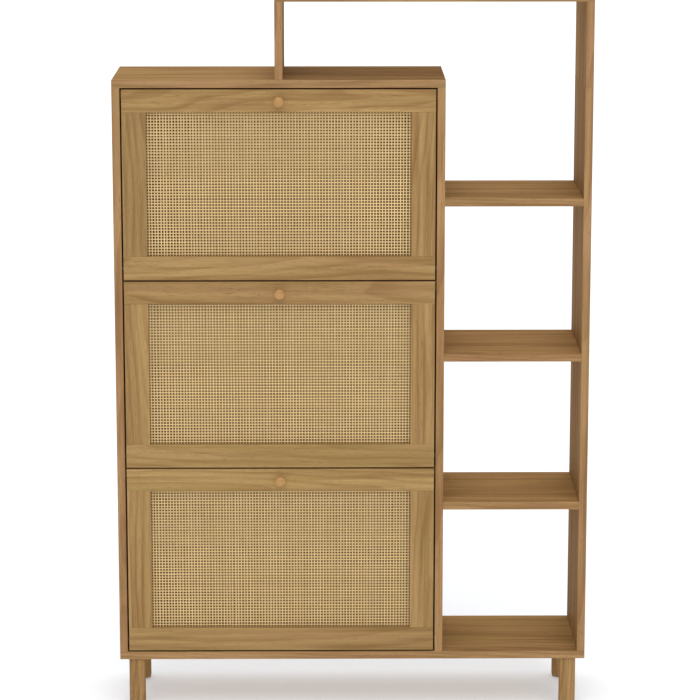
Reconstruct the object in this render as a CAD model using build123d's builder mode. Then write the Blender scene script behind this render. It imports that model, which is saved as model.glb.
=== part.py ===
"""Shoe cabinet: three tilt-out flaps with cane panels beside an open shelf tower, on four square legs.

Frame: +Z up, the front faces -Y, +X is to the right. The origin is on the floor, in the middle of
the whole object's box, which reaches from the knobs' tips in front to the carcass's back edges.
All sizes are millimetres.
"""
import os
from math import asin, cos, degrees, radians, sin, sqrt

from build123d import *

os.makedirs("parts", exist_ok=True)

# ---------------------------------------------------------------- driving dimensions

WIDTH = 900.0            # left side's outer face to right side's outer face
DEPTH = 240.0            # carcass, front edges to back edges
BOARD = 15.0             # every board of the carcass
LEG_HEIGHT = 100.0       # floor to the bottom board, glide included
CABINET_WIDTH = 624.0    # the part with the flaps, outside
FLAP_HEIGHT = 361.0
GAP = 3.0                # round each flap
BRIDGE_CLEAR = 145.0     # cabinet top to top board
UPRIGHT_LEFT = 304.5     # left side's outer face to the short upright
# from the bottom board's lower face to each shelf's
SHELF_RISES = {"lower_shelf": 298.0, "middle_shelf": 588.0, "upper_shelf": 886.0}
EDGE = 0.6               # rounding of board edges
FIT = 0.05               # radial play of a peg in its hole
SLACK = 0.1              # play of a flat piece in its seat

LEG_SIDE = 30.0
LEG_ROUND = 3.0
LEG_INSET = 17.0         # from the carcass's sides
LEG_FRONT_INSET = 5.0
LEG_BACK_INSET = 23.0
GLIDE_RADIUS = 11.0
GLIDE_THICK = 3.0
GLIDE_ROUND = 1.0        # its lower edge

TOP_RAIL = 43.0          # flap frame, heights and widths of its members
BOTTOM_RAIL = 45.0
STILE = 45.5
FLAP_THICK = 15.0
CANE_SETBACK = 8.0       # flap's face to the cane
CANE_THICK = 2.0
REBATE = 6.0             # how far the cane runs in behind the frame's edges
TENON = (29.5, 5.0, 12.0)  # width, thickness, length
KNOB_OUT = 20.0
KNOB_DROP = 22.0         # flap's top edge to the knob's centre
KNOB_FOOT = 7.0          # radii of the knob's foot, neck and head
KNOB_NECK = 5.4
KNOB_HEAD = 10.0
KNOB_CROWN = (7.6, 2.0)  # radius and height of its domed end
KNOB_NECK_OUT = 4.2      # from the rail's face to the narrowest place of its neck
KNOB_HEAD_FOOT = 8.2     # to the back of its head
KNOB_HEAD_OUT = 13.4     # to the widest place of its head

PIVOT_RISE = 22.0        # flap's bottom edge to the hinge line
PIN_RADIUS = 3.0
PIN_IN_RAIL = 14.0
PIN_IN_BUSH = 7.0
PIN_END_PLAY = 1.0       # between the pin's end and the bush's bottom
PIN_CHAMFER = 0.5
BUSH_RADIUS = 5.0
BUSH_DEPTH = 9.0
BUSH_FLANGE_RADIUS = 6.0
BUSH_FLANGE = 1.5
OPEN_ANGLE = 42.0        # degrees each flap tilts out
STOP_RADIUS = 150.0      # hinge line to the stop pin
STOP_ANGLE = 50.0        # degrees above level, seen from the hinge line
STOP_PIN_PAST = 1.0      # how far the stop pin reaches past the rack side
PIN_END_CHAMFER = 0.4
SLOT_PLAY = 0.5          # round the stop pin

PLATE = 5.0              # rack side, plate
PLATE_RADIUS = 195.0     # hinge line to its curved back edge
PLATE_FOOT = -16.0       # its lower edge, from the hinge line
PLATE_TOP = 215.0        # its front edge's top, from the hinge line
PLATE_BEND = 62.0        # degrees above level where the curved edge ends
PLATE_CORNER = 8.0       # rounding of its two back corners
FLANGE = (18.0, 3.0)     # width and thickness
TIER_LENGTH = 110.0      # along its slope
TIER_THICK = 9.0
TIER_SLOPE = 45.0
TIER_RISES = (0.0, 85.0)  # from the hinge line to each tier's front edge
TIER_START = 11.5        # behind the hinge line
TIER_ROUND = 1.5         # rounding of its long edges
SOCKET = (2.5, 8.0)      # wall and depth of the socket that holds a tier's end

STOP_RAIL = 20.0         # height of the rail that a closed flap rests against
STOP_RAIL_GAP = 0.5
BACK_THICK = 4.0
BACK_INSET = 6.0         # back panel behind the carcass's back edges
GROOVE = 5.0
HANG_RAIL = (60.0, 20.0)  # height, and the drop below the cabinet top
WALL_HOLE_RADIUS = 2.75
WALL_HOLE_SPACING = 400.0

DOWEL_RADIUS = 3.0
DOWEL_IN_FACE = 9.0
DOWEL_IN_END = 15.0
DOWEL_INSET = 50.0       # from the boards' front and back edges
DOWEL_CHAMFER = 0.5
SCREW_RADIUS = 3.5
SCREW_LENGTH = 48.0
SCREW_HEAD = (5.0, 2.0)  # radius, height
SCREW_INSET = 60.0       # from the boards' front and back edges
HEX_RADIUS = 2.0         # socket in the screw's head, across its corners
HEX_DEPTH = 3.0
LEG_BOLT_RADIUS = 4.0
LEG_BOLT_IN_BOARD = 12.0
LEG_BOLT_IN_LEG = 30.0
LEG_BOLT_CHAMFER = 0.8

# ---------------------------------------------------------------- places worked out from them

LEFT = -WIDTH / 2
RIGHT = WIDTH / 2
FRONT = KNOB_OUT - (DEPTH + KNOB_OUT) / 2
BACK = FRONT + DEPTH
FLAP_BACK = FRONT + FLAP_THICK
BAY_LEFT = LEFT + BOARD                        # between the cabinet's two sides
BAY_RIGHT = LEFT + CABINET_WIDTH - BOARD
TOWER_LEFT = LEFT + CABINET_WIDTH
TOWER_RIGHT = RIGHT - BOARD
FLOOR_BOARD = LEG_HEIGHT
SHORT_LEFT = LEFT + UPRIGHT_LEFT               # the short upright's left face
SIDES_FOOT = FLOOR_BOARD + BOARD
SIDES_TOP = SIDES_FOOT + 3 * FLAP_HEIGHT + 4 * GAP
CABINET_TOP = SIDES_TOP + BOARD
BRIDGE = CABINET_TOP + BRIDGE_CLEAR
FLAP_LEFT = BAY_LEFT + GAP
FLAP_RIGHT = BAY_RIGHT - GAP
FLAP_MIDDLE = (FLAP_LEFT + FLAP_RIGHT) / 2
PIVOT_Y = FRONT + FLAP_THICK / 2
BACK_FACE = BACK - BACK_INSET - BACK_THICK     # the back panel's front face
FLAPS = {
    name: SIDES_FOOT + GAP + tier * (FLAP_HEIGHT + GAP)
    for tier, name in enumerate(["lower", "middle", "upper"])
}


def write(part, name):
    """Label a finished piece and write it as one STEP file."""
    part.label = name
    export_step(part, f"parts/{name}.step")


def centre(spans):
    """Middle point of a box given as three (low, high) spans."""
    return tuple((low + high) / 2 for low, high in spans)


def sizes(spans):
    """Edge lengths of a box given as three (low, high) spans."""
    return tuple(high - low for low, high in spans)


def cut_box(spans, play=0.0):
    """Cut a box out of the part being built, larger than its spans by the play on every side."""
    with Locations(centre(spans)):
        Box(*(length + 2 * play for length in sizes(spans)), mode=Mode.SUBTRACT)


def peg(start, direction, length, radius, mode=Mode.ADD):
    """A round peg, or its hole, from a start point along a direction."""
    with Locations(Plane(origin=start, z_dir=direction)):
        Cylinder(radius, length, align=(Align.CENTER, Align.CENTER, Align.MIN), mode=mode)


# ---------------------------------------------------------------- the carcass's boards

BOARDS = {
    "left_side_panel": ((LEFT, BAY_LEFT), (FRONT, BACK), (SIDES_FOOT, SIDES_TOP)),
    "divider_panel": ((BAY_RIGHT, TOWER_LEFT), (FRONT, BACK), (SIDES_FOOT, SIDES_TOP)),
    "lower_right_side_panel": ((TOWER_RIGHT, RIGHT), (FRONT, BACK), (SIDES_FOOT, SIDES_TOP)),
    "upper_right_side_panel": ((TOWER_RIGHT, RIGHT), (FRONT, BACK), (SIDES_TOP, BRIDGE)),
    "bottom_board": ((LEFT, RIGHT), (FRONT, BACK), (FLOOR_BOARD, SIDES_FOOT)),
    "cabinet_top_board": ((LEFT, TOWER_LEFT), (FRONT, BACK), (SIDES_TOP, CABINET_TOP)),
    "short_upright": ((SHORT_LEFT, SHORT_LEFT + BOARD), (FRONT, BACK), (CABINET_TOP, BRIDGE)),
    "top_board": ((SHORT_LEFT, RIGHT), (FRONT, BACK), (BRIDGE, BRIDGE + BOARD)),
}
for name, rise in SHELF_RISES.items():
    foot = FLOOR_BOARD + rise
    BOARDS[name] = ((TOWER_LEFT, TOWER_RIGHT), (FRONT, BACK), (foot, foot + BOARD))
BOARDS["hang_rail"] = (
    (BAY_LEFT, BAY_RIGHT),
    (BACK_FACE - BOARD, BACK_FACE),
    (SIDES_TOP - HANG_RAIL[1] - HANG_RAIL[0], SIDES_TOP - HANG_RAIL[1]),
)
RAIL_FRONT = FLAP_BACK + STOP_RAIL_GAP
STOP_RAILS = [
    ((BAY_LEFT, BAY_RIGHT), (RAIL_FRONT, RAIL_FRONT + BOARD), (top - STOP_RAIL, top))
    for top in (foot + FLAP_HEIGHT for foot in FLAPS.values())
]
BACK_PANEL = (
    (BAY_LEFT - GROOVE, BAY_RIGHT + GROOVE),
    (BACK_FACE, BACK_FACE + BACK_THICK),
    (SIDES_FOOT - GROOVE, SIDES_TOP + GROOVE),
)

# Dowels, each as (start, direction): DOWEL_IN_FACE deep in one board's face, then DOWEL_IN_END deep in the
# next one's end.
DOWEL_ROWS = (FRONT + DOWEL_INSET, BACK - DOWEL_INSET)
dowels = []
for y in DOWEL_ROWS:
    for x in (LEFT + BOARD / 2, TOWER_LEFT - BOARD / 2):
        dowels.append(((x, y, SIDES_TOP + DOWEL_IN_FACE), (0, 0, -1)))
    for x in (SHORT_LEFT + BOARD / 2, RIGHT - BOARD / 2):
        dowels.append(((x, y, BRIDGE + DOWEL_IN_FACE), (0, 0, -1)))
    dowels.append(((SHORT_LEFT + BOARD / 2, y, CABINET_TOP - DOWEL_IN_FACE), (0, 0, 1)))
    dowels.append(((RIGHT - BOARD / 2, y, SIDES_TOP - DOWEL_IN_FACE), (0, 0, 1)))
    for name in SHELF_RISES:
        z = centre(BOARDS[name])[2]
        dowels.append(((TOWER_LEFT - DOWEL_IN_FACE, y, z), (1, 0, 0)))
        dowels.append(((TOWER_RIGHT + DOWEL_IN_FACE, y, z), (-1, 0, 0)))
for rail in STOP_RAILS + [BOARDS["hang_rail"]]:
    y, z = centre(rail)[1:]
    dowels.append(((BAY_LEFT - DOWEL_IN_FACE, y, z), (1, 0, 0)))
    dowels.append(((BAY_RIGHT + DOWEL_IN_FACE, y, z), (-1, 0, 0)))
DOWEL_LENGTH = DOWEL_IN_FACE + DOWEL_IN_END

# Screws up through the bottom board into the three upright panels, and the studs that hold the legs.
SCREW_ROWS = (FRONT + SCREW_INSET, BACK - SCREW_INSET)
screw_feet = [(x, y, FLOOR_BOARD) for x in (LEFT + BOARD / 2, TOWER_LEFT - BOARD / 2, RIGHT - BOARD / 2)
              for y in SCREW_ROWS]
LEG_X = WIDTH / 2 - LEG_INSET - LEG_SIDE / 2
LEG_FRONT_Y = FRONT + LEG_FRONT_INSET + LEG_SIDE / 2
LEG_BACK_Y = BACK - LEG_BACK_INSET - LEG_SIDE / 2
LEGS = {
    "front_left_leg": (-LEG_X, LEG_FRONT_Y),
    "front_right_leg": (LEG_X, LEG_FRONT_Y),
    "rear_left_leg": (-LEG_X, LEG_BACK_Y),
    "rear_right_leg": (LEG_X, LEG_BACK_Y),
}

# Hinge bushes and stop pins, on the inner faces of the left side (out is +X) and the divider (out is -X).
WALLS = ((BAY_LEFT, 1), (BAY_RIGHT, -1))
bush_places = [(wall, foot + PIVOT_RISE, out) for foot in FLAPS.values() for wall, out in WALLS]
STOP_Y = PIVOT_Y + STOP_RADIUS * cos(radians(STOP_ANGLE))
STOP_RISE = STOP_RADIUS * sin(radians(STOP_ANGLE))
WALL_HOLES = [
    (FLAP_MIDDLE + side * WALL_HOLE_SPACING / 2, BACK, centre(BOARDS["hang_rail"])[2])
    for side in (-1, 1)
]


def cut_fixings(spans):
    """Cut every dowel, screw, stud, bush, pin and wall-screw hole that reaches into a board."""
    holes = [(start, direction, DOWEL_LENGTH, DOWEL_RADIUS + FIT) for start, direction in dowels]
    for foot in screw_feet:
        holes.append((foot, (0, 0, 1), SCREW_HEAD[1] + SCREW_LENGTH, SCREW_RADIUS + FIT))
        holes.append((foot, (0, 0, 1), SCREW_HEAD[1], SCREW_HEAD[0] + FIT))
    for x, y in LEGS.values():
        holes.append(((x, y, FLOOR_BOARD), (0, 0, 1), LEG_BOLT_IN_BOARD, LEG_BOLT_RADIUS + FIT))
    for wall, z, out in bush_places:
        holes.append(((wall, PIVOT_Y, z), (-out, 0, 0), BUSH_DEPTH + SLACK, BUSH_RADIUS + FIT))
        holes.append(((wall, STOP_Y, z + STOP_RISE), (-out, 0, 0), BUSH_DEPTH, PIN_RADIUS + FIT))
    for place in WALL_HOLES:
        holes.append((place, (0, -1, 0), BACK_INSET + BACK_THICK + BOARD, WALL_HOLE_RADIUS))
    for start, direction, length, radius in holes:
        end = tuple(s + d * length for s, d in zip(start, direction))
        reach = [radius * (d == 0) for d in direction]
        if all(min(s, e) - r < high and max(s, e) + r > low
               for s, e, r, (low, high) in zip(start, end, reach, spans)):
            peg(start, direction, length, radius, Mode.SUBTRACT)


for name, spans in BOARDS.items():
    with BuildPart() as board:
        with Locations(centre(spans)):
            Box(*sizes(spans))
        fillet(board.edges(), EDGE)
        if name != "hang_rail":
            cut_box(BACK_PANEL, SLACK)
        cut_fixings(spans)
    write(board.part, name)

with BuildPart() as stop_rails:
    for spans in STOP_RAILS:
        with Locations(centre(spans)):
            Box(*sizes(spans))
        cut_fixings(spans)
write(stop_rails.part, "stop_rails")

with BuildPart() as back_panel:
    with Locations(centre(BACK_PANEL)):
        Box(*sizes(BACK_PANEL))
    cut_fixings(BACK_PANEL)
write(back_panel.part, "back_panel")

# ---------------------------------------------------------------- legs and the carcass's fixings

for name, (x, y) in LEGS.items():
    with BuildPart() as leg:
        with BuildSketch(Plane.XY.offset(GLIDE_THICK)):
            with Locations((x, y)):
                RectangleRounded(LEG_SIDE, LEG_SIDE, LEG_ROUND)
        extrude(amount=LEG_HEIGHT - GLIDE_THICK)
        fillet(leg.faces().sort_by(Axis.Z)[0].edges(), EDGE)
        peg((x, y, FLOOR_BOARD), (0, 0, -1), LEG_BOLT_IN_LEG, LEG_BOLT_RADIUS + FIT, Mode.SUBTRACT)
    write(leg.part, name)

with BuildPart() as leg_glides:
    for x, y in LEGS.values():
        peg((x, y, 0), (0, 0, 1), GLIDE_THICK, GLIDE_RADIUS)
    fillet(leg_glides.edges().group_by(Axis.Z)[0], GLIDE_ROUND)
write(leg_glides.part, "leg_glides")

with BuildPart() as leg_bolts:
    for x, y in LEGS.values():
        stud_foot = FLOOR_BOARD - LEG_BOLT_IN_LEG + SLACK
        stud_length = LEG_BOLT_IN_LEG + LEG_BOLT_IN_BOARD - 2 * SLACK
        peg((x, y, stud_foot), (0, 0, 1), stud_length, LEG_BOLT_RADIUS)
    chamfer(leg_bolts.edges(), LEG_BOLT_CHAMFER)
write(leg_bolts.part, "leg_bolts")

with BuildPart() as dowel_set:
    for start, direction in dowels:
        inner = tuple(s + d * SLACK for s, d in zip(start, direction))
        peg(inner, direction, DOWEL_LENGTH - 2 * SLACK, DOWEL_RADIUS)
    chamfer(dowel_set.edges(), DOWEL_CHAMFER)
write(dowel_set.part, "dowels")

with BuildPart() as carcass_screws:
    for x, y, z in screw_feet:
        peg((x, y, z), (0, 0, 1), SCREW_HEAD[1], SCREW_HEAD[0])
        peg((x, y, z), (0, 0, 1), SCREW_HEAD[1] + SCREW_LENGTH - SLACK, SCREW_RADIUS)
        with BuildSketch(Plane.XY.offset(z)):
            with Locations((x, y)):
                RegularPolygon(HEX_RADIUS, 6)
        extrude(amount=HEX_DEPTH, mode=Mode.SUBTRACT)
write(carcass_screws.part, "carcass_screws")

with BuildPart() as pivot_bushes:
    for wall, z, out in bush_places:
        peg((wall, PIVOT_Y, z), (-out, 0, 0), BUSH_DEPTH, BUSH_RADIUS)
        peg((wall, PIVOT_Y, z), (out, 0, 0), BUSH_FLANGE, BUSH_FLANGE_RADIUS)
    for wall, z, out in bush_places:
        mouth = (wall + out * BUSH_FLANGE, PIVOT_Y, z)
        bore_length = BUSH_FLANGE + PIN_IN_BUSH + PIN_END_PLAY
        peg(mouth, (-out, 0, 0), bore_length, PIN_RADIUS + FIT, Mode.SUBTRACT)
write(pivot_bushes.part, "pivot_bushes")

with BuildPart() as stop_pins:
    for wall, z, out in bush_places:
        inner = (wall - out * (BUSH_DEPTH - SLACK), STOP_Y, z + STOP_RISE)
        peg(inner, (out, 0, 0), BUSH_DEPTH - SLACK + GAP + PLATE + STOP_PIN_PAST, PIN_RADIUS)
    chamfer(stop_pins.edges(), PIN_END_CHAMFER)
write(stop_pins.part, "stop_pins")

# ---------------------------------------------------------------- flaps

OPENING_X = (FLAP_LEFT + STILE, FLAP_RIGHT - STILE)
CANE_FRONT = FRONT + CANE_SETBACK
CANE_BACK = CANE_FRONT + CANE_THICK
RACK_FRONT = FLAP_BACK + FIT
STILES = {"left": (FLAP_LEFT, OPENING_X[0]), "right": (OPENING_X[1], FLAP_RIGHT)}
RACK_SIDES = {"left": (FLAP_LEFT, 1), "right": (FLAP_RIGHT, -1)}  # plate's outer face, and the way in
FLANGE_SCREW_RISES = (40.0, 125.0, 195.0)
FLANGE_SCREW = (1.75, 9.0)   # radius, length in the stile
PAN_HEAD = (3.5, 2.0)        # radius, height
PAN_ROUND = 1.0
KNOB_SCREW_RADIUS = 2.0
KNOB_SCREW_HEAD = (4.0, 2.5)
KNOB_SCREW_IN_KNOB = 10.0
HEAD_RECESS = 3.0


def tenons(foot):
    """Spans of the four tenons of a flap's stiles, two at each end."""
    y = (PIVOT_Y - TENON[1] / 2, PIVOT_Y + TENON[1] / 2)
    low = foot + BOTTOM_RAIL
    high = foot + FLAP_HEIGHT - TOP_RAIL
    spans = []
    for stile in STILES.values():
        middle = sum(stile) / 2
        x = (middle - TENON[0] / 2, middle + TENON[0] / 2)
        spans.append((x, y, (low - TENON[2], low)))
        spans.append((x, y, (high, high + TENON[2])))
    return spans


def flange_screw_places(foot):
    """Where the rack's screws enter the stiles' back faces."""
    places = []
    for outer, inward in RACK_SIDES.values():
        for rise in FLANGE_SCREW_RISES:
            places.append((outer + inward * (PLATE + FLANGE[0] / 2), FLAP_BACK, foot + PIVOT_RISE + rise))
    return places


def make_flap(flap, foot):
    """One tilt-out flap: framed cane door, knob, rack and hinge pins."""
    top = foot + FLAP_HEIGHT
    pivot_z = foot + PIVOT_RISE
    opening_z = (foot + BOTTOM_RAIL, top - TOP_RAIL)
    rebate = (
        (OPENING_X[0] - REBATE, OPENING_X[1] + REBATE),
        (CANE_FRONT, FLAP_BACK),
        (opening_z[0] - REBATE, opening_z[1] + REBATE),
    )
    knob_foot = (FLAP_MIDDLE, FRONT, top - KNOB_DROP)

    for name, z in (("top_rail", (opening_z[1], top)), ("bottom_rail", (foot, opening_z[0]))):
        spans = ((FLAP_LEFT, FLAP_RIGHT), (FRONT, FLAP_BACK), z)
        with BuildPart() as rail:
            with Locations(centre(spans)):
                Box(*sizes(spans))
            fillet(rail.edges(), EDGE)
            cut_box(rebate)
            for tenon in tenons(foot):
                cut_box(tenon, SLACK)
            if name == "top_rail":
                peg(knob_foot, (0, 1, 0), FLAP_THICK, KNOB_SCREW_RADIUS + FIT, Mode.SUBTRACT)
                recess = (FLAP_MIDDLE, FLAP_BACK, knob_foot[2])
                peg(recess, (0, -1, 0), HEAD_RECESS, KNOB_SCREW_HEAD[0] + SLACK, Mode.SUBTRACT)
            else:
                peg((FLAP_LEFT, PIVOT_Y, pivot_z), (1, 0, 0), PIN_IN_RAIL, PIN_RADIUS + FIT, Mode.SUBTRACT)
                peg((FLAP_RIGHT, PIVOT_Y, pivot_z), (-1, 0, 0), PIN_IN_RAIL, PIN_RADIUS + FIT, Mode.SUBTRACT)
        write(rail.part, f"{flap}_flap_{name}")

    for side, x in STILES.items():
        spans = (x, (FRONT, FLAP_BACK), opening_z)
        with BuildPart() as stile:
            with Locations(centre(spans)):
                Box(*sizes(spans))
            fillet(stile.edges(), EDGE)
            for tenon in tenons(foot):
                if tenon[0][0] > x[0] and tenon[0][1] < x[1]:
                    with Locations(centre(tenon)):
                        Box(*sizes(tenon))
            cut_box(rebate)
            for place in flange_screw_places(foot):
                if x[0] < place[0] < x[1] and opening_z[0] < place[2] < opening_z[1]:
                    peg(place, (0, -1, 0), FLANGE_SCREW[1] + SLACK, FLANGE_SCREW[0] + FIT, Mode.SUBTRACT)
        write(stile.part, f"{flap}_flap_{side}_stile")

    with BuildPart() as cane_panel:
        with Locations(centre((rebate[0], (CANE_FRONT, CANE_BACK), rebate[2]))):
            Box(sizes(rebate)[0] - 2 * SLACK, CANE_THICK, sizes(rebate)[2] - 2 * SLACK)
    write(cane_panel.part, f"{flap}_flap_cane_panel")

    bead_y = (CANE_BACK, FLAP_BACK - SLACK)
    long_x = (rebate[0][0] + SLACK, rebate[0][1] - SLACK)
    with BuildPart() as cane_beads:
        for z in ((rebate[2][0] + SLACK, opening_z[0]), (opening_z[1], rebate[2][1] - SLACK)):
            with Locations(centre((long_x, bead_y, z))):
                Box(*sizes((long_x, bead_y, z)))
        for x in ((long_x[0], OPENING_X[0]), (OPENING_X[1], long_x[1])):
            spans = (x, bead_y, (opening_z[0] + SLACK, opening_z[1] - SLACK))
            with Locations(centre(spans)):
                Box(*sizes(spans))
    write(cane_beads.part, f"{flap}_flap_cane_beads")

    crown = (KNOB_CROWN[0] ** 2 + KNOB_CROWN[1] ** 2) / (2 * KNOB_CROWN[1])
    crown_arc = degrees(asin(KNOB_CROWN[0] / crown))
    crown_edge = (KNOB_CROWN[0], KNOB_OUT - KNOB_CROWN[1])
    with BuildPart() as knob:
        with BuildSketch(Plane(origin=knob_foot, x_dir=(1, 0, 0), z_dir=(0, 0, -1))):
            with BuildLine():
                Line((0, 0), (KNOB_FOOT, 0))
                ThreePointArc((KNOB_FOOT, 0), (KNOB_NECK, KNOB_NECK_OUT), (KNOB_FOOT, KNOB_HEAD_FOOT))
                ThreePointArc((KNOB_FOOT, KNOB_HEAD_FOOT), (KNOB_HEAD, KNOB_HEAD_OUT), crown_edge)
                CenterArc((0, KNOB_OUT - crown), crown, 90 - crown_arc, crown_arc)
                Line((0, KNOB_OUT), (0, 0))
            make_face()
        revolve(axis=Axis(knob_foot, (0, -1, 0)))
        peg(knob_foot, (0, -1, 0), KNOB_SCREW_IN_KNOB + SLACK, KNOB_SCREW_RADIUS + FIT, Mode.SUBTRACT)
    write(knob.part, f"{flap}_flap_knob")

    with BuildPart() as screws:
        head_y = FLAP_BACK - HEAD_RECESS
        head = (FLAP_MIDDLE, head_y, knob_foot[2])
        peg(head, (0, 1, 0), KNOB_SCREW_HEAD[1], KNOB_SCREW_HEAD[0])
        peg(head, (0, -1, 0), head_y - FRONT + KNOB_SCREW_IN_KNOB, KNOB_SCREW_RADIUS)
        for x, y, z in flange_screw_places(foot):
            head = (x, RACK_FRONT + FLANGE[1], z)
            peg(head, (0, 1, 0), PAN_HEAD[1], PAN_HEAD[0])
            peg(head, (0, -1, 0), FLANGE[1] + FLANGE_SCREW[1], FLANGE_SCREW[0])
        pan_tops = screws.faces().filter_by(GeomType.PLANE).sort_by(Axis.Y)[-len(flange_screw_places(foot)):]
        fillet(pan_tops.edges(), PAN_ROUND)
    write(screws.part, f"{flap}_flap_screws")

    with BuildPart() as pivot_pins:
        for outer, inward in RACK_SIDES.values():
            inner = (outer + inward * (PIN_IN_RAIL - SLACK), PIVOT_Y, pivot_z)
            peg(inner, (-inward, 0, 0), PIN_IN_RAIL - SLACK + GAP + PIN_IN_BUSH, PIN_RADIUS)
        chamfer(pivot_pins.edges(), PIN_CHAMFER)
    write(pivot_pins.part, f"{flap}_flap_pivot_pins")

    # Tiers slope up towards the back. A tier's place is the centre of its section, in the YZ plane.
    slope = radians(TIER_SLOPE)
    along = TIER_LENGTH / 2
    across = TIER_THICK / 2
    tier_places = [
        (
            PIVOT_Y + TIER_START + along * cos(slope) + across * sin(slope),
            pivot_z + rise + along * sin(slope) - across * cos(slope),
        )
        for rise in TIER_RISES
    ]
    tier_x = (FLAP_LEFT + PLATE + SLACK, FLAP_RIGHT - PLATE - SLACK)
    with BuildPart() as tier_boards:
        for y, z in tier_places:
            with Locations(Location((sum(tier_x) / 2, y, z), (TIER_SLOPE, 0, 0))):
                Box(tier_x[1] - tier_x[0], TIER_LENGTH, TIER_THICK)
        fillet(tier_boards.edges().filter_by(Axis.X), TIER_ROUND)
    write(tier_boards.part, f"{flap}_flap_tier_boards")

    def at(radius, angle):
        return (PIVOT_Y + radius * cos(radians(angle)), pivot_z + radius * sin(radians(angle)))

    slot_half = PIN_RADIUS + SLOT_PLAY
    slot_low = STOP_ANGLE - OPEN_ANGLE
    foot_corner = (PIVOT_Y + sqrt(PLATE_RADIUS**2 - PLATE_FOOT**2), pivot_z + PLATE_FOOT)
    for side, (outer, inward) in RACK_SIDES.items():
        inner = outer + inward * PLATE
        with BuildPart() as rack_side:
            with BuildSketch(Plane.YZ.offset(outer)) as outline:
                with BuildLine():
                    Line((RACK_FRONT, pivot_z + PLATE_FOOT), foot_corner)
                    ThreePointArc(foot_corner, at(PLATE_RADIUS, PLATE_BEND / 2), at(PLATE_RADIUS, PLATE_BEND))
                    Line(at(PLATE_RADIUS, PLATE_BEND), (RACK_FRONT, pivot_z + PLATE_TOP))
                    Line((RACK_FRONT, pivot_z + PLATE_TOP), (RACK_FRONT, pivot_z + PLATE_FOOT))
                make_face()
                fillet(outline.vertices().sort_by(Axis.Y)[2:], PLATE_CORNER)
                with BuildLine():
                    CenterArc((PIVOT_Y, pivot_z), STOP_RADIUS + slot_half, slot_low, OPEN_ANGLE)
                    CenterArc(at(STOP_RADIUS, STOP_ANGLE), slot_half, STOP_ANGLE, 180)
                    CenterArc((PIVOT_Y, pivot_z), STOP_RADIUS - slot_half, slot_low, OPEN_ANGLE)
                    CenterArc(at(STOP_RADIUS, slot_low), slot_half, slot_low + 180, 180)
                make_face(mode=Mode.SUBTRACT)
            extrude(amount=inward * PLATE)
            flange = (
                (min(inner, inner + inward * FLANGE[0]), max(inner, inner + inward * FLANGE[0])),
                (RACK_FRONT, RACK_FRONT + FLANGE[1]),
                (pivot_z + PLATE_FOOT, pivot_z + PLATE_TOP),
            )
            with Locations(centre(flange)):
                Box(*sizes(flange))
            for x, y, z in flange_screw_places(foot):
                if flange[0][0] < x < flange[0][1]:
                    peg((x, y, z), (0, 1, 0), 2 * FLANGE[1], FLANGE_SCREW[0] + FIT, Mode.SUBTRACT)
            for margin, mode in ((SOCKET[0], Mode.ADD), (SLACK, Mode.SUBTRACT)):
                with BuildSketch(Plane.YZ.offset(inner)):
                    for place in tier_places:
                        with Locations(place):
                            Rectangle(TIER_LENGTH + 2 * margin, TIER_THICK + 2 * margin, rotation=TIER_SLOPE)
                extrude(amount=inward * SOCKET[1], mode=mode)
        write(rack_side.part, f"{flap}_flap_{side}_rack_side")


for flap, foot in FLAPS.items():
    make_flap(flap, foot)
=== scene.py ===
"""The looks of the shoe cabinet: oak boards and flap frames, woven cane, turned knobs, floor, soft light.

Everything is in metres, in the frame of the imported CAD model: +Z up, the front faces -Y, the floor is at 0.
"""

import math
import random

import bpy
from mathutils import Euler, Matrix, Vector


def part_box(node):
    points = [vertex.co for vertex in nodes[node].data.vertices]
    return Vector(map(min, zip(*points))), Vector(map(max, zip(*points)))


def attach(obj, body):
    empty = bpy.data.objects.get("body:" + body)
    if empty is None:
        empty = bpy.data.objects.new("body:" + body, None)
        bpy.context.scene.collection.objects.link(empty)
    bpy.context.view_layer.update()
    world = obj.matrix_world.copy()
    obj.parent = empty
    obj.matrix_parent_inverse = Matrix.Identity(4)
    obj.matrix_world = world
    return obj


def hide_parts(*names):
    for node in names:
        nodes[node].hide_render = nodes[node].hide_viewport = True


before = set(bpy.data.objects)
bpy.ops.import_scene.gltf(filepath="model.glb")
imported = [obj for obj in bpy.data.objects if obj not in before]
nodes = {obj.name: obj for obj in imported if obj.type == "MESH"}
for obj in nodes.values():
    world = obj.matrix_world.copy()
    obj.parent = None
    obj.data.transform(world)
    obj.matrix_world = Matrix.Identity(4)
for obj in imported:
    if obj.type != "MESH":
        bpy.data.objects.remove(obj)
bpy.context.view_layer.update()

MM = 0.001
SEED = 11

# The cabinet's nodes
FLAPS = ("lower_flap", "middle_flap", "upper_flap")
LEVEL_BOARDS = (
    "bottom_board", "cabinet_top_board", "top_board", "upper_shelf", "middle_shelf", "lower_shelf",
)
UPRIGHT_BOARDS = (
    "left_side_panel", "divider_panel", "lower_right_side_panel", "upper_right_side_panel", "short_upright",
)
LEGS = ("front_left_leg", "front_right_leg", "rear_left_leg", "rear_right_leg")
INNER_RAILS = ("stop_rails", "hang_rail")

# Camera: in front, higher than the top board and just left of the middle, looking down, with a long lens
EYE = (-0.0496, -5.6423, 1.8419)
PITCH = 0.2016  # radians downwards
YAW = -0.0081  # radians about +Z, so a little to the right
SENSOR = 36.0
LENS = 153.0
CLIP_END = 200

# Light: an even pale room, a wide soft key from the front and above, and another from behind and above
ROOM_LIGHT = 0.50
KEY = {"strength": 1.24, "elevation": 52, "azimuth": 3, "angle": 60}
TOP_LIGHT = {"strength": 1.0, "elevation": 62, "azimuth": 180, "angle": 60}
LAMP_DISTANCE = 4
FLOOR_HALF = 40.0
FLOOR_COLOUR = (0.79, 0.81, 0.83, 1)
FLOOR_GLOW = 0.3
FLOOR_GLOW_COLOUR = (0.95, 0.99, 1.05, 1)

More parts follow.
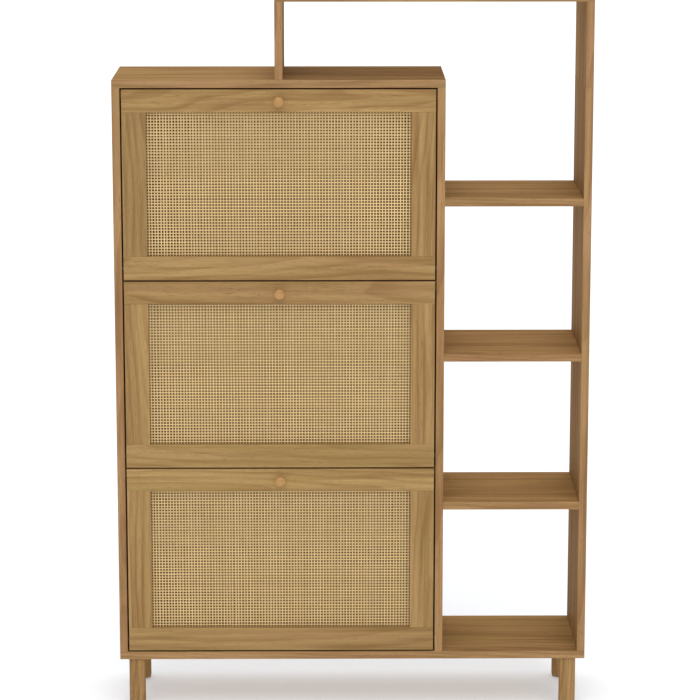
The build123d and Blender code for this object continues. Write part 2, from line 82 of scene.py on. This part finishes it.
# Grain: the turn that brings a board's length to X
LEVEL = (0, 0, 0)
UPRIGHT = (0, math.pi / 2, 0)

# Oak: its colours, and how its growth rings run
OAK_LIGHT = (0.470, 0.298, 0.124)
OAK_DARK = (0.285, 0.163, 0.062)
OAK_OLIVE = (0.365, 0.250, 0.084)
OAK_PINK = (0.420, 0.225, 0.112)
OAK_SHEEN = (1.0, 0.80, 0.52, 1)
OAK_GLOSS = 0.012
RING_SPACING = (0.0062, 0.0085)
RING_WANDER = 0.034
# where the middle of a board's tree was: how far in from the face that shows, how far aside as a share of
# that face's width, and at what angle to the grain, in radians
HEART_DEPTH = (0.035, 0.075)
HEART_ASIDE = (0.25, 0.8)
HEART_LEAN = (0.012, 0.035)
LEAST_WIDTH = 0.04  # a narrower face counts as this wide

# Painted shade: broad faces are tinted warmer for the warm bounce light in shade, front edges greyer
BROAD_FACE_SHADE_TINT = (1.0, 1.01, 0.93, 1)
FRONT_EDGE_TINT = (1.0, 1.0, 1.06, 1)
FRONT_FACING = (0.5, 0.9)  # from where to where a face counts as a front edge, by the Y of its normal
BOARD_PINK = 0.045
LEG_PINK = 0.03

# How much pieces of the same wood differ: where in the noise they are cut, how pink and how light they are
OAK_REACH = 9
BEECH_REACH = 5
PINK_SPREAD = 0.012
LIGHT_SHARE = (0.975, 1.025)

# Pieces that are lighter or darker than the rest, and tier boards darkened as painted shade behind the cane
TONES = {
    "upper_flap_top_rail": 1.07, "upper_flap_left_stile": 0.83,
    "middle_flap_top_rail": 0.96, "middle_flap_bottom_rail": 0.95,
    "lower_flap_top_rail": 1.06, "lower_flap_bottom_rail": 0.96, "lower_flap_left_stile": 0.96,
    "cabinet_top_board": 0.94, "short_upright": 0.92, "bottom_board": 0.97,
    "left_side_panel": 0.93, "lower_right_side_panel": 0.95, "upper_right_side_panel": 0.96,
    "upper_shelf": 0.94, "middle_shelf": 1.02, "lower_shelf": 1.05,
    **{leg: 0.94 for leg in LEGS},
    **{rail: 0.92 for rail in INNER_RAILS},
    **{f"{flap}_cane_beads": 0.95 for flap in FLAPS},
    # painted shade: the tier boards behind the cane are darkened so that the cane's holes look dark
    **{f"{flap}_tier_boards": 0.3 for flap in FLAPS},
}

# The other materials' colours, each a colour or the two that it lies between
CANE_PALE, CANE_DEEP = (0.897, 0.639, 0.308, 1), (0.686, 0.453, 0.189, 1)
CANE_FIBRE, CANE_SPOT = (0.46, 0.29, 0.11, 1), (0.26, 0.15, 0.06, 1)
BACK_BROWN = (0.23, 0.125, 0.046)
KNOB_BEECH = (0.505, 0.266, 0.083)
DOWEL_BEECH = (0.62, 0.40, 0.19)
ZINC = (0.56, 0.55, 0.52, 1), (0.74, 0.73, 0.70, 1)
BLACKENED = (0.030, 0.026, 0.022, 1), (0.060, 0.052, 0.044, 1)
BUSH_BROWN = (0.055, 0.038, 0.026)
RACK_BROWN = (0.078, 0.046, 0.026)
FELT_BROWN = (0.050, 0.036, 0.026)

# Cane: flat strands woven one over, one under
CANE_PITCH = 5.64 * MM
STRAND_WIDTH = 2.30 * MM
STRAND_THICK = 0.55 * MM
WEAVE_HEIGHT = 0.32 * MM
STEPS_PER_PITCH = 2
# a strand's section, in half widths and half thicknesses: flat, with slanted edges
STRAND_SECTION = ((-1, 0), (-0.72, 1), (0.72, 1), (1, 0), (0.72, -1), (-0.72, -1))
# how far strands stray from an even weave: their places, their widths, and a slow snaking along each one
PLACE_SCATTER = 0.12 * MM
WIDTH_SHARE = (0.93, 1.07)
SNAKE_MM = 0.15
SNAKE_TURN = 5  # radians over a strand's length
SNAKE_START = 6  # radians between the first and the last tone
FIBRE_START = 7  # metres between the fibres of the first and the last tone

# A Mix node's colour sockets go by number, because their names aren't unique
MIX_SHARE, MIX_UNDER, MIX_OVER, MIX_RESULT = 0, 6, 7, 2


def new_object(name, data):
    """A new object in the scene, made of this mesh, light or camera data."""
    made = bpy.data.objects.new(name, data)
    bpy.context.scene.collection.objects.link(made)
    return made


# -------------------------------------------------------------------------------------------- materials


class Material:
    """A material and short calls for the nodes that feed its shader."""

    def __init__(self, name, **plain):
        self.material = bpy.data.materials.new(name)
        self.material.use_nodes = True
        self.tree = self.material.node_tree
        self.shader = self.tree.nodes["Principled BSDF"]
        for socket, value in plain.items():
            self.shader.inputs[socket.replace("_", " ")].default_value = value

    def feed(self, socket, value):
        """Gives a socket a plain value, or links it to another node's output."""
        if isinstance(value, bpy.types.NodeSocket):
            self.tree.links.new(value, socket)
        else:
            socket.default_value = value

    def add(self, kind, inputs=(), **settings):
        """A new node of this kind, with its inputs fed and its settings made."""
        node = self.tree.nodes.new("ShaderNode" + kind)
        for name, value in settings.items():
            setattr(node, name, value)
        for name, value in dict(inputs).items():
            self.feed(node.inputs[name], value)
        return node

    def place(self, rotation=(0, 0, 0), location=(0, 0, 0), scale=(1, 1, 1), vector=None):
        """A point in the frame, turned, scaled and moved. It starts from the object's own coordinates."""
        if vector is None:
            vector = self.add("TexCoord").outputs["Object"]
        inputs = {"Vector": vector, "Rotation": rotation, "Location": location, "Scale": scale}
        return self.add("Mapping", inputs).outputs[0]

    def noise(self, vector, scale=1.0, detail=2.0, roughness=0.5, distortion=0.0):
        """Noise between 0 and 1, with scale cycles per metre where the vector isn't scaled already."""
        inputs = {"Vector": vector, "Scale": scale}
        inputs |= {"Detail": detail, "Roughness": roughness, "Distortion": distortion}
        return self.add("TexNoise", inputs).outputs["Fac"]

    def math(self, operation, *values):
        node = self.add("Math", operation=operation)
        for socket, value in zip(node.inputs, values):
            self.feed(socket, value)
        return node.outputs[0]

    def spread(self, value, low, high, to_low=0.0, to_high=1.0):
        """Maps low..high smoothly to to_low..to_high."""
        inputs = {"Value": value, "From Min": low, "From Max": high, "To Min": to_low, "To Max": to_high}
        return self.add("MapRange", inputs, interpolation_type="SMOOTHSTEP").outputs[0]

    def mix(self, share, under, over, blend="MIX"):
        """The colour under with this share of the colour over on it."""
        node = self.add("Mix", data_type="RGBA", blend_type=blend)
        self.feed(node.inputs[MIX_SHARE], share)
        self.feed(node.inputs[MIX_UNDER], under)
        self.feed(node.inputs[MIX_OVER], over)
        return node.outputs[MIX_RESULT]

    def finish(self, colour, roughness, height, depth, strength=1.0):
        """Feeds the shader: its colour, its roughness, and a bump whose highest point is depth proud."""
        self.feed(self.shader.inputs["Base Color"], colour)
        self.feed(self.shader.inputs["Roughness"], roughness)
        bump = self.add("Bump", {"Height": height, "Distance": depth, "Strength": strength})
        self.feed(self.shader.inputs["Normal"], bump.outputs[0])
        return self.material


def tint(colour, factor, pink=0.0):
    """The colour made lighter or darker, and pinker or, below 0, greener."""
    return (colour[0] * factor * (1 + pink / 2), colour[1] * factor * (1 - pink), colour[2] * factor, 1)


def tree_middle(box, face, draw):
    """Draws where the middle of a board's tree was and how it leaned: a shift and a turn of the board."""
    low, high = box
    width = min(high[axis] - low[axis] for axis in (0, 2)) if face == "y" else high[1] - low[1]
    aside = draw.uniform(*HEART_ASIDE) * max(width, LEAST_WIDTH) * draw.choice((-1, 1))
    deep = draw.uniform(*HEART_DEPTH)
    lean = draw.uniform(*HEART_LEAN) * draw.choice((-1, 1))
    if face == "y":
        return (0, deep, aside), (0, 0, lean)
    return (0, aside, deep), (0, lean, 0)


def oak(name, box, grain, draw, light=1.0, figure=1.0, face="y", pink=0.0, edged=False):
    """Satin oak with its grain along the board: growth rings cut at a shallow angle, streaks, fine fibres,
    pores, and patches of olive and pink. box is the board's box and grain the turn that brings its length
    to X. face is the axis that points out of the side that shows. draw is the random source that gives each
    board its own piece of the tree. figure is how strongly the rings show, and edged says whether the
    broad faces get a warmer tint as painted shade and the front edges a greyer one."""
    low, high = box
    look = Material(name, Specular_IOR_Level=OAK_GLOSS, Specular_Tint=OAK_SHEEN)
    along = look.place(rotation=grain, location=-(Euler(grain).to_matrix() @ ((low + high) / 2)))
    spot, tilt = tree_middle(box, face, draw)
    offset = [draw.uniform(-OAK_REACH, OAK_REACH) for axis in range(3)]

    def layer(cycles_along, cycles_across, start=offset, **settings):
        """Noise stretched along the grain. Its cycles are those of a metre along and across the grain."""
        scale = (cycles_along, cycles_across, cycles_across)
        return look.noise(look.place(vector=along, scale=scale, location=start), **settings)

    # growth rings run round the tree's middle: each is pale at first and darkens late
    wander = layer(2.2, 9, detail=2.5, roughness=0.55)
    tree_place = look.add("SeparateXYZ", {"Vector": look.place(vector=along, rotation=tilt, location=spot)})
    y, z = tree_place.outputs[1:]
    squares = look.math("ADD", look.math("MULTIPLY", y, y), look.math("MULTIPLY", z, z))
    from_middle = look.math("POWER", squares, 0.5)
    bent = look.math("MULTIPLY_ADD", wander, RING_WANDER, from_middle)
    ring = look.math("FRACT", look.math("DIVIDE", bent, draw.uniform(*RING_SPACING)))
    late = look.math("MULTIPLY", look.spread(ring, 0.35, 0.9), look.spread(ring, 1.0, 0.92))

    # streaks, fibres, pores in the early wood, and patches of hue
    broad = layer(2.4, 42, detail=2, roughness=0.5)
    streak = layer(4.5, 140, detail=4, roughness=0.62)
    fibre = layer(16, 760, detail=3, roughness=0.6)
    pore = look.spread(layer(70, 1500, start=offset[::-1], detail=1), 0.60, 0.70)
    pore = look.math("MULTIPLY", pore, look.spread(ring, 0.62, 0.2, 0.35, 1.0))
    hue = layer(1.9, 26, start=offset[::-1], detail=3, roughness=0.55)

    # from light to dark wood, with patches of pink and olive and dark pores
    share = look.math("MULTIPLY", late, 0.40 * figure)
    share = look.math("ADD", share, look.spread(broad, 0.36, 0.66, -0.05, 0.45))
    share = look.math("ADD", share, look.spread(streak, 0.34, 0.66, -0.06, 0.34))
    share = look.math("ADD", share, look.spread(fibre, 0.34, 0.66, -0.09, 0.15))
    pink += draw.uniform(-PINK_SPREAD, PINK_SPREAD)
    light *= draw.uniform(*LIGHT_SHARE)
    colour = look.mix(share, tint(OAK_LIGHT, light, pink), tint(OAK_DARK, light, pink))
    colour = look.mix(look.spread(hue, 0.56, 0.74, 0.0, 0.42), colour, tint(OAK_PINK, light))
    colour = look.mix(look.spread(hue, 0.44, 0.28, 0.0, 0.42), colour, tint(OAK_OLIVE, light))
    colour = look.mix(look.math("MULTIPLY", pore, 0.55), colour, tint(OAK_DARK, 0.5 * light))
    if edged:
        # painted shade: broad faces tinted warmer for the warm bounce light in shade, front edges greyer
        normal = look.add("SeparateXYZ", {"Vector": look.add("TexCoord").outputs["Normal"]})
        front = look.spread(look.math("ABSOLUTE", normal.outputs["Y"]), *FRONT_FACING)
        colour = look.mix(1.0, colour, look.mix(front, BROAD_FACE_SHADE_TINT, FRONT_EDGE_TINT), blend="MULTIPLY")

    height = look.math("SUBTRACT", look.math("MULTIPLY", fibre, 0.5), look.math("MULTIPLY", pore, 0.6))
    height = look.math("SUBTRACT", height, look.math("MULTIPLY", late, 0.25))
    roughness = look.spread(streak, 0.3, 0.7, 0.58, 0.72)
    return look.finish(colour, roughness, height, 0.12 * MM, 0.7)


def cane_material():
    """Peeled cane: pale, slightly glossy, each strand in its own tone, long fibres, a few darker spots."""
    look = Material("cane_strands", Specular_IOR_Level=0.3)
    tone = look.add("Attribute", attribute_name="strand_tone").outputs["Fac"]
    run = look.add("Attribute", attribute_name="strand_run").outputs["Vector"]
    fibres = look.noise(look.place(vector=run, scale=(14, 2600, 900)), detail=3, roughness=0.6)
    patches = look.noise(look.place(vector=run, scale=(22, 60, 60)), detail=2, roughness=0.55)
    spots = look.spread(look.noise(look.place(vector=run, scale=(90, 500, 500)), detail=1), 0.66, 0.76)
    share = look.math("ADD", look.math("MULTIPLY", tone, 0.32), look.spread(patches, 0.3, 0.7, 0.0, 0.35))
    colour = look.mix(share, CANE_PALE, CANE_DEEP)
    colour = look.mix(look.spread(fibres, 0.35, 0.7, 0.0, 0.28), colour, CANE_FIBRE)
    colour = look.mix(look.math("MULTIPLY", spots, 0.45), colour, CANE_SPOT)
    return look.finish(colour, look.spread(fibres, 0.3, 0.7, 0.36, 0.55), fibres, 0.05 * MM, 0.6)


def beech(name, base, draw, centre=(0, 0, 0), turned=False):
    """Close pale wood. A turned piece shows rings about the axis it was turned on."""
    look = Material(name, Specular_IOR_Level=0.5)
    here = look.place(location=[-value for value in centre])
    offset = [draw.uniform(-BEECH_REACH, BEECH_REACH) for axis in range(3)]
    fleck_place = look.place(vector=here, scale=(420, 90, 420), location=offset)
    fleck = look.noise(fleck_place, detail=3, roughness=0.6)
    cloud = look.noise(look.place(vector=here, scale=(60, 30, 60), location=offset), detail=2)
    share = look.spread(cloud, 0.3, 0.7, 0.0, 0.4)
    share = look.math("ADD", share, look.spread(fleck, 0.35, 0.7, 0.0, 0.35))
    height = fleck
    if turned:
        inputs = {"Vector": here, "Scale": 32.0, "Distortion": 1.6, "Detail": 2.0}
        waves = look.add("TexWave", inputs, wave_type="RINGS", rings_direction="Y", wave_profile="SIN")
        waves = waves.outputs["Fac"]
        share = look.math("ADD", share, look.math("MULTIPLY", waves, 0.22))
        height = look.math("ADD", fleck, look.math("MULTIPLY", waves, 0.5))
    colour = look.mix(share, tint(base, 1.12), tint(base, 0.72))
    return look.finish(colour, look.spread(fleck, 0.3, 0.7, 0.3, 0.44), height, 0.05 * MM, 0.5)


def hardboard(name, base):
    """Thin board with a printed oak look on it: soft streaks over pressed fibres."""
    look = Material(name, Specular_IOR_Level=0.06, Specular_Tint=OAK_SHEEN)
    along = look.place(rotation=UPRIGHT)
    streak = look.noise(look.place(vector=along, scale=(2.5, 70, 70)), detail=3, roughness=0.6)
    fibre = look.noise(look.place(vector=along, scale=(60, 700, 700)), detail=2)
    share = look.spread(streak, 0.3, 0.7, 0.0, 0.7)
    share = look.math("ADD", share, look.spread(fibre, 0.3, 0.7, 0.0, 0.2))
    colour = look.mix(share, tint(base, 1.1), tint(base, 0.75))
    return look.finish(colour, look.spread(fibre, 0.3, 0.7, 0.5, 0.66), fibre, 0.06 * MM, 0.5)


def steel(name, low, high):
    """Plated or blackened steel: a grey between low and high, finely clouded, with turning marks."""
    look = Material(name, Metallic=1.0)
    here = look.place()
    cloud = look.noise(here, scale=180, detail=3, roughness=0.6)
    marks = look.noise(look.place(vector=here, scale=(900, 900, 120)), detail=2)
    colour = look.mix(look.spread(cloud, 0.3, 0.7), low, high)
    return look.finish(colour, look.spread(marks, 0.3, 0.7, 0.26, 0.42), marks, 0.03 * MM, 0.4)


def plastic(name, base):
    """Moulded plastic with a fine spark-eroded grain and faint flow clouds."""
    look = Material(name, Specular_IOR_Level=0.22)
    here = look.place()
    grain = look.noise(here, scale=1400, detail=2)
    cloud = look.noise(here, scale=26, detail=2)
    share = look.spread(cloud, 0.3, 0.7, 0.0, 0.6)
    share = look.math("ADD", share, look.spread(grain, 0.3, 0.7, 0.0, 0.4))
    colour = look.mix(share, tint(base, 1.15), tint(base, 0.82))
    return look.finish(colour, look.spread(grain, 0.3, 0.7, 0.42, 0.56), grain, 0.05 * MM, 0.5)


def felt(name, base):
    """A pressed felt pad: matted hairs over a mottled brown."""
    look = Material(name, Specular_IOR_Level=0.15, Sheen_Weight=0.3)
    here = look.place()
    hairs = look.noise(here, scale=1100, detail=4, roughness=0.7, distortion=1.5)
    mottle = look.noise(here, scale=160, detail=2)
    share = look.spread(mottle, 0.3, 0.7, 0.0, 0.5)
    share = look.math("ADD", share, look.spread(hairs, 0.3, 0.7, 0.0, 0.5))
    colour = look.mix(share, tint(base, 1.3), tint(base, 0.7))
    return look.finish(colour, look.spread(hairs, 0.3, 0.7, 0.85, 0.98), hairs, 0.3 * MM, 0.9)


def pale_floor(name):
    """A plain, faintly mottled studio floor that glows a little, so that it fades into the room."""
    look = Material(
        name, Emission_Strength=FLOOR_GLOW, Emission_Color=FLOOR_GLOW_COLOUR, Specular_IOR_Level=0.0,
    )
    grit = look.noise(look.place(), scale=40, detail=3)
    colour = look.mix(look.spread(grit, 0.3, 0.7), FLOOR_COLOUR, tint(FLOOR_COLOUR, 0.985))
    return look.finish(colour, look.spread(grit, 0.3, 0.7, 0.7, 0.8), grit, 0.1 * MM, 0.2)


# --------------------------------------------------------------------------------- the CAD nodes' looks


def dress(node, material):
    """Gives a CAD node its material."""
    for slot in nodes[node].material_slots:
        slot.material = material


def dress_in_oak(node, grain, draw, **settings):
    """Gives a CAD node oak of its own, lighter or darker by its tone."""
    dress(node, oak(node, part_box(node), grain, draw, TONES.get(node, 1.0), **settings))


source = random.Random(SEED)
for node in LEVEL_BOARDS:
    dress_in_oak(node, LEVEL, source, face="z", pink=BOARD_PINK, edged=True)
for node in UPRIGHT_BOARDS:
    dress_in_oak(node, UPRIGHT, source, pink=BOARD_PINK, edged=True)
for node in LEGS:
    dress_in_oak(node, UPRIGHT, source, pink=LEG_PINK)
for node in INNER_RAILS:
    dress_in_oak(node, LEVEL, source)
dress("back_panel", hardboard("back_panel", BACK_BROWN))
for flap in FLAPS:
    for part in ("top_rail", "bottom_rail"):
        dress_in_oak(f"{flap}_{part}", LEVEL, source)
    for part in ("left_stile", "right_stile"):
        dress_in_oak(f"{flap}_{part}", UPRIGHT, source)
    for part in ("cane_beads", "tier_boards"):
        dress_in_oak(f"{flap}_{part}", LEVEL, source, figure=0.5)
    knob = f"{flap}_knob"
    low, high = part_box(knob)
    dress(knob, beech(knob, KNOB_BEECH, source, (low + high) / 2, turned=True))

zinc = steel("zinc_plate", *ZINC)
blackened = steel("blackened_steel", *BLACKENED)
rack = plastic("rack_plastic", RACK_BROWN)
for node in ("leg_bolts", "carcass_screws", "stop_pins"):
    dress(node, zinc)
dress("dowels", beech("dowel_beech", DOWEL_BEECH, source))
dress("pivot_bushes", plastic("bush_nylon", BUSH_BROWN))
dress("leg_glides", felt("glide_felt", FELT_BROWN))
for flap in FLAPS:
    dress(f"{flap}_screws", zinc)
    dress(f"{flap}_pivot_pins", blackened)
    dress(f"{flap}_left_rack_side", rack)
    dress(f"{flap}_right_rack_side", rack)


# ------------------------------------------------------------------------------------------------- cane


def strand_faces(base, steps):
    """A strand's sides, one step after another, and its two ends. base is the number of its first point.
    The faces look outwards on a strand that runs along X."""
    sides = len(STRAND_SECTION)
    faces = []
    for start in range(base, base + steps * sides, sides):
        for side in range(sides):
            after = (side + 1) % sides
            faces.append((start + side, start + after, start + sides + after, start + sides + side))
    end = base + steps * sides
    faces.append(tuple(range(base, base + sides))[::-1])
    faces.append(tuple(range(end, end + sides)))
    return faces


def weave(name, box, lengthwise, draw, material):
    """All the strands of a cane panel that run one way, as one mesh. lengthwise is the axis they run along:
    0 is X, 2 is Z. They bend over and under the strands that cross them, within the sheet's thickness."""
    low, high = box
    crosswise = 2 - lengthwise
    run, span = high[lengthwise] - low[lengthwise], high[crosswise] - low[crosswise]
    count, crossings = round(span / CANE_PITCH), round(run / CANE_PITCH)
    steps = crossings * STEPS_PER_PITCH
    first = (low[crosswise] + high[crosswise]) / 2 - (count - 1) / 2 * CANE_PITCH
    cross_first = (low[lengthwise] + high[lengthwise]) / 2 - (crossings - 1) / 2 * CANE_PITCH
    middle = (low[1] + high[1]) / 2
    half, thick = STRAND_WIDTH / 2, STRAND_THICK / 2
    verts, faces, tones, runs = [], [], [], []
    for strand in range(count):
        place = first + strand * CANE_PITCH + draw.gauss(0, PLACE_SCATTER)
        width = half * draw.uniform(*WIDTH_SHARE)
        tone = draw.random()
        snake = draw.uniform(-SNAKE_MM, SNAKE_MM) * MM
        # strands side by side, and the two where they cross, bend opposite ways
        phase = (strand + (1 if lengthwise == 0 else 0)) * math.pi
        for face in strand_faces(len(verts), steps):
            faces.append(face if lengthwise == 0 else face[::-1])
        for step in range(steps + 1):
            share = step / steps
            at = low[lengthwise] + share * run
            wave = math.cos((at - cross_first) / CANE_PITCH * math.pi + phase)
            ahead = middle - WEAVE_HEIGHT * wave
            aside = place + snake * math.sin(share * SNAKE_TURN + tone * SNAKE_START)
            for offset, depth in STRAND_SECTION:
                point = [0, ahead - depth * thick, 0]
                point[lengthwise] = at
                point[crosswise] = aside + offset * width
                verts.append(point)
                tones.append(tone)
                runs.append((at + tone * FIBRE_START, offset * width, depth * thick))
    mesh = bpy.data.meshes.new(name)
    mesh.from_pydata(verts, [], faces)
    mesh.attributes.new("strand_tone", "FLOAT", "POINT").data.foreach_set("value", tones)
    where = mesh.attributes.new("strand_run", "FLOAT_VECTOR", "POINT")
    where.data.foreach_set("vector", [value for point in runs for value in point])
    mesh.shade_smooth()
    mesh.materials.append(material)
    return new_object(name, mesh)


cane = cane_material()
for flap in FLAPS:
    panel = f"{flap}_cane_panel"
    for direction, lengthwise in (("upright", 2), ("level", 0)):
        strands = weave(f"{flap}_{direction}_cane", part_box(panel), lengthwise, source, cane)
        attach(strands, flap)
        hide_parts(panel)


# ------------------------------------------------------------------------------ floor, light and camera


def sun(name, strength, elevation, azimuth, angle):
    """A wide soft light. Its angles are in degrees. Azimuth 0 comes from the front, 90 from the right."""
    data = bpy.data.lights.new(name, "SUN")
    data.energy = strength
    data.angle = math.radians(angle)
    lamp = new_object(name, data)
    turn, rise = math.radians(azimuth), math.radians(elevation)
    level = math.cos(rise)
    way = Vector((math.sin(turn) * level, -math.cos(turn) * level, math.sin(rise)))
    lamp.rotation_euler = way.to_track_quat("Z", "Y").to_euler()
    lamp.location = way * LAMP_DISTANCE


sun("key_light", **KEY)
sun("top_light", **TOP_LIGHT)

floor_mesh = bpy.data.meshes.new("floor")
corners = [(x * FLOOR_HALF, y * FLOOR_HALF, 0) for x, y in ((-1, -1), (1, -1), (1, 1), (-1, 1))]
floor_mesh.from_pydata(corners, [], [(0, 1, 2, 3)])
floor_mesh.materials.append(pale_floor("pale_floor"))
floor = new_object("floor", floor_mesh)

# the room is white to look at, and lights the cabinet less strongly than that
world = bpy.data.worlds.new("room")
bpy.context.scene.world = world
world.use_nodes = True
background = world.node_tree.nodes["Background"]
seen = world.node_tree.nodes.new("ShaderNodeLightPath")
strength = world.node_tree.nodes.new("ShaderNodeMapRange")
strength.inputs["To Min"].default_value = ROOM_LIGHT
strength.inputs["To Max"].default_value = 1.0
world.node_tree.links.new(seen.outputs["Is Camera Ray"], strength.inputs["Value"])
world.node_tree.links.new(strength.outputs[0], background.inputs["Strength"])
background.inputs["Color"].default_value = (1, 1, 1, 1)

camera_data = bpy.data.cameras.new("camera")
camera_data.sensor_width = SENSOR
camera_data.lens = LENS
camera_data.clip_end = CLIP_END
camera = new_object("camera", camera_data)
camera.location = EYE
camera.rotation_euler = (math.pi / 2 - PITCH, 0, YAW)
bpy.context.scene.camera = camera
bpy.context.scene.view_settings.view_transform = "Standard"
